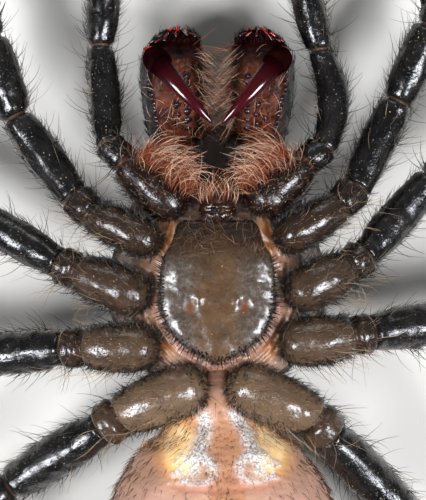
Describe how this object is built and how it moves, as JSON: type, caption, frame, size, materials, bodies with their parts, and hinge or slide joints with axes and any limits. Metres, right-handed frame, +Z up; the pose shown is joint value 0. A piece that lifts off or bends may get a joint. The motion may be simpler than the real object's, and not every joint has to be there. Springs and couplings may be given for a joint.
{
  "type": "trapdoor spider model",
  "caption": "Life-size still trapdoor spider lying on its back, legs spread, stout jaws open with their fangs bared over the mouth.",
  "frame": {"origin": "on the floor, on the flat of the carapace's head region that the spider lies on", "axes": "+Z up, the way the belly faces; +Y towards the fangs; +X towards the animal's left"},
  "size_m": [0.0443, 0.0424, 0.0089],
  "materials": {
    "leg cuticle": "dark charcoal chitin, polished, with a bluish sheen",
    "coxa cuticle": "grey-brown chitin, polished, finely pitted",
    "carapace cuticle": "dark brown chitin, satin",
    "sternum cuticle": "olive-brown chitin, satin, with pitted scars",
    "chelicera cuticle": "black-red chitin, polished",
    "fang": "dark red chitin, glassy",
    "maxilla cuticle": "near-black brown chitin, pitted, with a red-brown fringe",
    "abdomen skin": "pinkish tan soft skin, matt, finely haired",
    "eye": "black, glassy"
  },
  "bodies": {
    "root": {"abdomen": "abdomen skin", "carapace": "carapace cuticle", "chelicera_left": "chelicera cuticle", "chelicera_right": "chelicera cuticle", "eye_front_middle_left": "eye", "eye_front_middle_right": "eye", "eye_front_side_left": "eye", "eye_front_side_right": "eye", "eye_rear_middle_left": "eye", "eye_rear_middle_right": "eye", "eye_rear_side_left": "eye", "eye_rear_side_right": "eye", "fang_left": "fang", "fang_right": "fang", "labium": "maxilla cuticle", "leg1_left_coxa": "coxa cuticle", "leg1_left_foot": "leg cuticle", "leg1_left_shank": "leg cuticle", "leg1_left_thigh": "leg cuticle", "leg1_right_coxa": "coxa cuticle", "leg1_right_foot": "leg cuticle", "leg1_right_shank": "leg cuticle", "leg1_right_thigh": "leg cuticle", "leg2_left_coxa": "coxa cuticle", "leg2_left_foot": "leg cuticle", "leg2_left_shank": "leg cuticle", "leg2_left_thigh": "leg cuticle", "leg2_right_coxa": "coxa cuticle", "leg2_right_foot": "leg cuticle", "leg2_right_shank": "leg cuticle", "leg2_right_thigh": "leg cuticle", "leg3_left_coxa": "coxa cuticle", "leg3_left_foot": "leg cuticle", "leg3_left_shank": "leg cuticle", "leg3_left_thigh": "leg cuticle", "leg3_right_coxa": "coxa cuticle", "leg3_right_foot": "leg cuticle", "leg3_right_shank": "leg cuticle", "leg3_right_thigh": "leg cuticle", "leg4_left_coxa": "coxa cuticle", "leg4_left_foot": "leg cuticle", "leg4_left_shank": "leg cuticle", "leg4_left_thigh": "leg cuticle", "leg4_right_coxa": "coxa cuticle", "leg4_right_foot": "leg cuticle", "leg4_right_shank": "leg cuticle", "leg4_right_thigh": "leg cuticle", "maxilla_left": "maxilla cuticle", "maxilla_right": "maxilla cuticle", "palp_left_shank": "leg cuticle", "palp_left_tarsus": "leg cuticle", "palp_left_thigh": "leg cuticle", "palp_right_shank": "leg cuticle", "palp_right_tarsus": "leg cuticle", "palp_right_thigh": "leg cuticle", "pedicel": "abdomen skin", "spinneret_left": "abdomen skin", "spinneret_right": "abdomen skin", "sternum": "sternum cuticle"}
  },
  "joints": []
}
